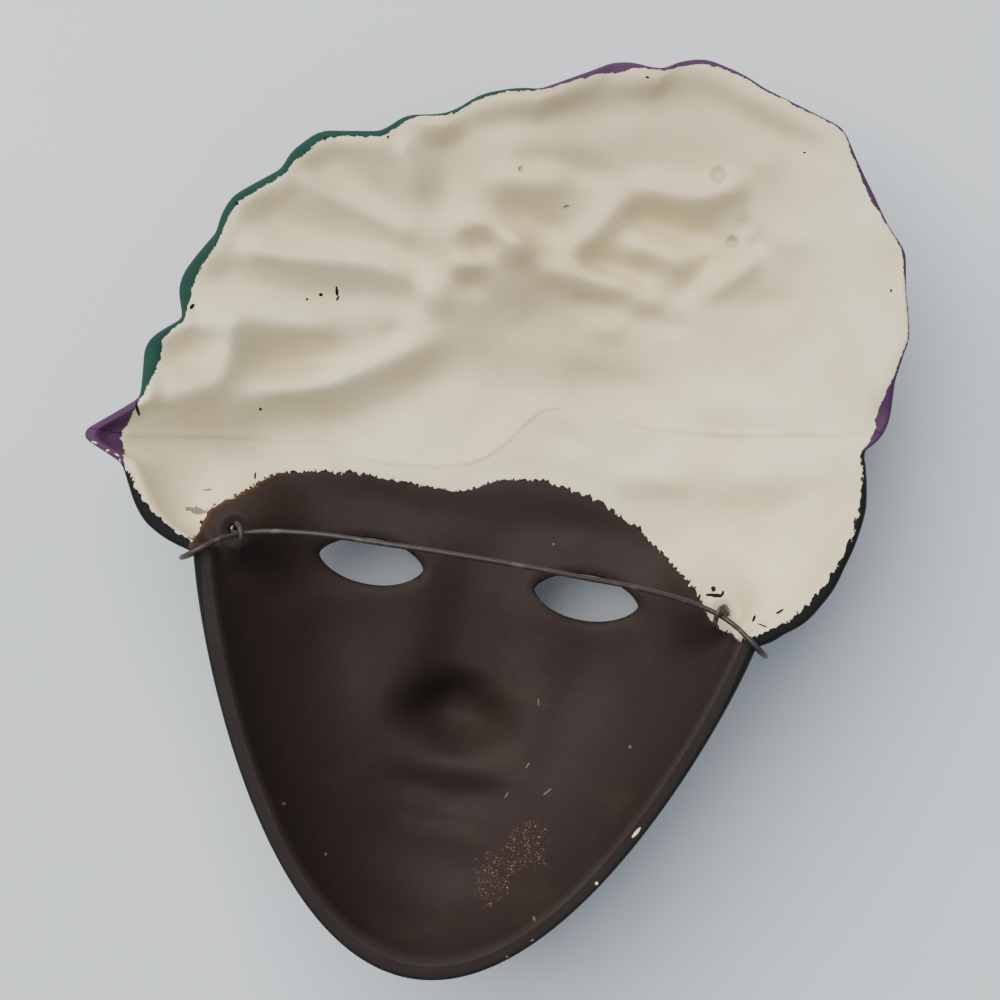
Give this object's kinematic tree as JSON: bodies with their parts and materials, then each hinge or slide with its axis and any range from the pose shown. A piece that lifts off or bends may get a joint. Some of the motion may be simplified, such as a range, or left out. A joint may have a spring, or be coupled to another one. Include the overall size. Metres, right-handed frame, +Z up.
{
  "type": "ceramic wall mask",
  "caption": "Hollow cast wall mask of a calm face in a feathered, flowered hat, with open almond eyes, lying face down, and a hanging wire strung across its back.",
  "frame": {"origin": "on the surface the mask lies on, under the middle of the mask's own box", "axes": "+Z up, out of the hollow back; +Y from the chin to the crown; +X to the right as seen from behind"},
  "size_m": [0.2084, 0.2492, 0.0661],
  "materials": {
    "painted_ceramic": "matte, painted in part",
    "wire_coat": "satin"
  },
  "bodies": {
    "root": {"mask_shell": "painted_ceramic", "hanging_wire": "wire_coat"}
  },
  "joints": []
}
